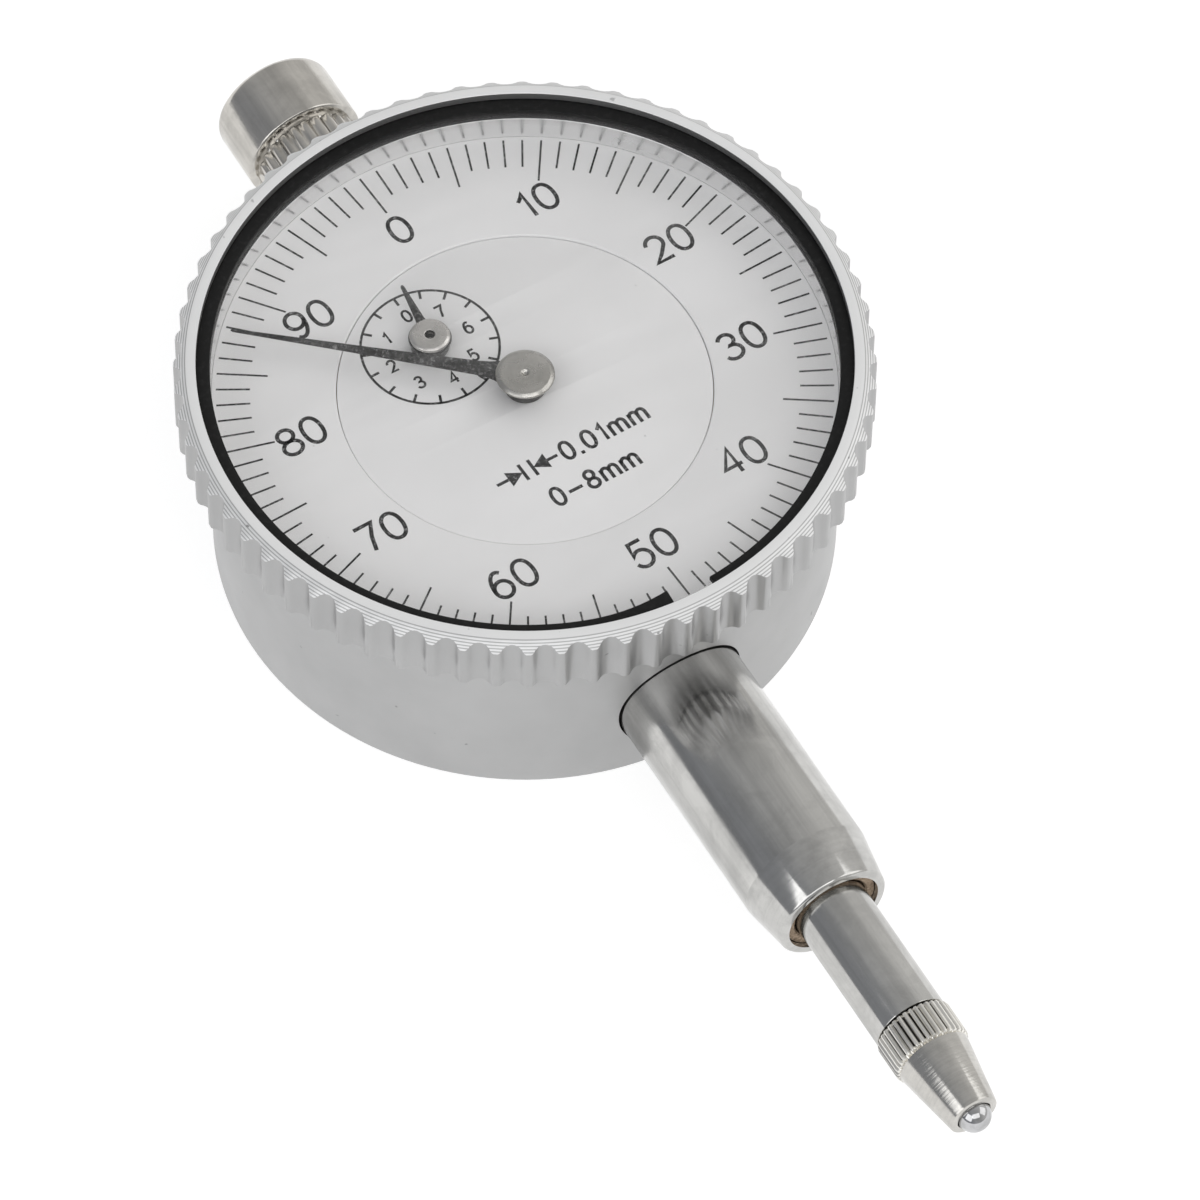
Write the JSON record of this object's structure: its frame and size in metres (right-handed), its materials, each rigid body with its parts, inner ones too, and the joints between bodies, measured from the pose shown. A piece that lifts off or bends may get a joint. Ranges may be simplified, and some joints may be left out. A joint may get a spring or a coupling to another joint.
{
  "type": "dial indicator",
  "caption": "Plunger dial indicator with a round scalloped bezel, a clear crystal, a main and a small pointer, a round stem and a ball contact point.",
  "frame": {"origin": "centre of the back cover's outer face", "axes": "+Z out of the dial, +Y towards the dust cap, -Y along the stem to the contact point"},
  "size_m": [0.0412, 0.0839, 0.0171],
  "materials": {
    "case_aluminium": "satin anodised",
    "ground_steel": "ground",
    "nickel_plate": "satin nickel plate",
    "polished_ball": "polished",
    "bronze": "sintered",
    "brass": "turned",
    "spring_steel": "drawn wire",
    "hub_steel": "satin",
    "pointer_steel": "dark satin",
    "black_ring": "blackened, satin",
    "dial_white": "matt white, printed",
    "crystal": "clear"
  },
  "bodies": {
    "case": {"case_body": "case_aluminium", "back_cover": "case_aluminium", "back_cover_screw_1": "ground_steel", "back_cover_screw_2": "ground_steel", "back_cover_screw_3": "ground_steel", "back_cover_screw_4": "ground_steel", "stem": "ground_steel", "stem_bushing": "bronze", "upper_bushing": "bronze", "dust_cap": "nickel_plate", "bezel_retaining_ring": "spring_steel", "movement_plate": "brass", "base_plate": "brass", "center_bridge": "brass", "plate_pillar_1": "brass", "plate_pillar_2": "brass", "plate_pillar_3": "brass", "plate_pillar_4": "brass", "plate_screw_1": "ground_steel", "plate_screw_2": "ground_steel", "plate_screw_3": "ground_steel", "plate_screw_4": "ground_steel", "movement_screw_1": "ground_steel", "movement_screw_2": "ground_steel", "movement_screw_3": "ground_steel", "center_dial_support": "brass", "center_dial": "dial_white", "spring_post": "ground_steel", "hairspring_stud": "brass", "hairspring": "spring_steel"},
    "spindle": {"spindle_rod": "ground_steel", "contact_point": "nickel_plate", "contact_ball": "polished_ball", "guide_pin": "ground_steel", "spring_pin": "ground_steel", "return_spring": "spring_steel"},
    "counter_shaft": {"counter_arbor": "ground_steel", "rack_pinion": "ground_steel", "drive_gear": "brass", "counter_pointer": "pointer_steel", "counter_pointer_hub": "hub_steel"},
    "center_shaft": {"center_arbor": "ground_steel", "center_pinion": "ground_steel", "main_pointer": "pointer_steel", "main_pointer_hub": "hub_steel"},
    "takeup_shaft": {"takeup_arbor": "ground_steel", "takeup_gear": "brass", "hairspring_collet": "brass"},
    "bezel": {"bezel": "case_aluminium", "crystal": "crystal", "crystal_snap_ring": "black_ring", "dial_ring": "dial_white"}
  },
  "joints": [
    {"name": "spindle_slide", "type": "slide", "parent": "case", "child": "spindle", "axis": [0, 1, 0], "range_m": [0, 0.0083], "stiffness_N_per_m": 60, "springref_m": -0.01, "deforming": ["return_spring"]},
    {"name": "counter_turn", "type": "hinge", "parent": "case", "child": "counter_shaft", "pos_m": [-0.00337, 0.00539, 0.01], "axis": [0, 0, 1], "range_deg": [-3, 377]},
    {"name": "center_turn", "type": "hinge", "parent": "case", "child": "center_shaft", "pos_m": [0, 0, 0.01], "axis": [0, 0, 1], "range_deg": [-3012, 24]},
    {"name": "takeup_turn", "type": "hinge", "parent": "case", "child": "takeup_shaft", "pos_m": [0.00581, -0.00259, 0.01], "axis": [0, 0, 1], "range_deg": [-3, 377], "deforming": ["hairspring"]},
    {"name": "bezel_turn", "type": "hinge", "parent": "case", "child": "bezel", "pos_m": [0, 0, 0.0139], "axis": [0, 0, 1], "continuous": true}
  ],
  "couplings": [
    {"joint": "counter_turn", "follows": "spindle_slide", "rad_per_m": 785.4},
    {"joint": "center_turn", "follows": "spindle_slide", "rad_per_m": -6283.2},
    {"joint": "takeup_turn", "follows": "spindle_slide", "rad_per_m": 785.4}
  ]
}
